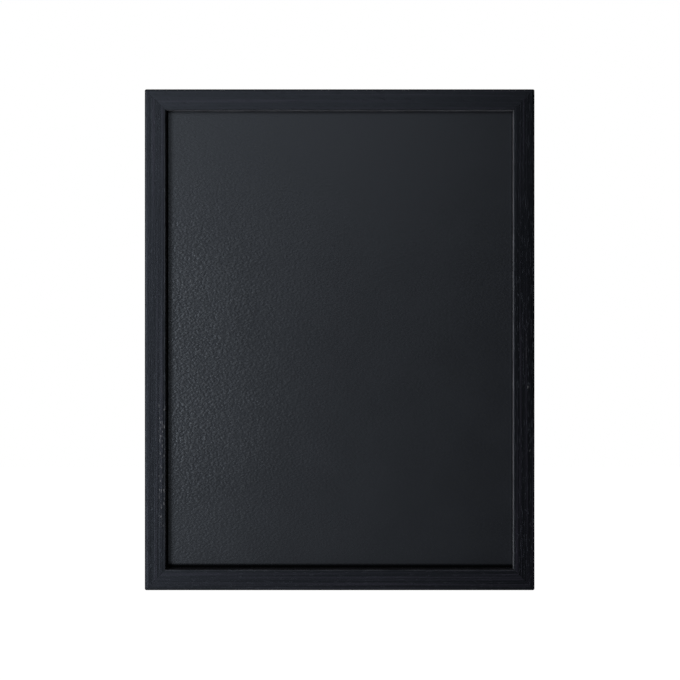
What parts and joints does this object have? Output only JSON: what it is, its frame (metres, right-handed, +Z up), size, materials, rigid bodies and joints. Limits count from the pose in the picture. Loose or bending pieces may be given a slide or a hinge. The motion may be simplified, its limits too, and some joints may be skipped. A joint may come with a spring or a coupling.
{
  "type": "wall chalkboard",
  "caption": "Wall-hung chalkboard: a mitred black wood frame round a recessed dark writing surface, with swinging hanger rings and rubber bumpers on its back.",
  "frame": {"origin": "midway between the two wall hooks that hold the raised hanger rings, in the frame's back plane", "axes": "+Z up the board, +X the viewer's right, +Y from the writing side towards the wall"},
  "size_m": [0.34, 0.0202, 0.437],
  "materials": {
    "black_lacquer": "satin black lacquer over open-pored wood",
    "chalk_coating": "matte dark grey coating with a fine pebbled texture",
    "hardboard": "bare pressed fibre",
    "spring_steel": "dull rolled steel",
    "plated_steel": "bright nickel plate",
    "rubber": "matte black"
  },
  "bodies": {
    "board": {"top_rail": "black_lacquer", "bottom_rail": "black_lacquer", "left_stile": "black_lacquer", "right_stile": "black_lacquer", "writing_sheet": "chalk_coating", "hardboard_core": "hardboard", "top_rail_retainer_tab_1": "spring_steel", "top_rail_retainer_tab_2": "spring_steel", "bottom_rail_retainer_tab_1": "spring_steel", "bottom_rail_retainer_tab_2": "spring_steel", "left_stile_retainer_tab_1": "spring_steel", "left_stile_retainer_tab_2": "spring_steel", "left_stile_retainer_tab_3": "spring_steel", "right_stile_retainer_tab_1": "spring_steel", "right_stile_retainer_tab_2": "spring_steel", "right_stile_retainer_tab_3": "spring_steel", "top_right_v_nail_1": "spring_steel", "top_right_v_nail_2": "spring_steel", "top_left_v_nail_1": "spring_steel", "top_left_v_nail_2": "spring_steel", "bottom_left_v_nail_1": "spring_steel", "bottom_left_v_nail_2": "spring_steel", "bottom_right_v_nail_1": "spring_steel", "bottom_right_v_nail_2": "spring_steel", "left_hanger_strap": "plated_steel", "left_hanger_screw": "plated_steel", "left_bumper": "rubber", "right_hanger_strap": "plated_steel", "right_hanger_screw": "plated_steel", "right_bumper": "rubber"},
    "left_ring": {"left_hanger_ring": "plated_steel"},
    "right_ring": {"right_hanger_ring": "plated_steel"}
  },
  "joints": [
    {"name": "left_ring_swing", "type": "hinge", "parent": "board", "child": "left_ring", "pos_m": [-0.1624, 0.0021, -0.0083], "axis": [1, 0, 0], "range_deg": [0, 180]},
    {"name": "right_ring_swing", "type": "hinge", "parent": "board", "child": "right_ring", "pos_m": [0.1624, 0.0021, -0.0083], "axis": [1, 0, 0], "range_deg": [0, 180]}
  ]
}
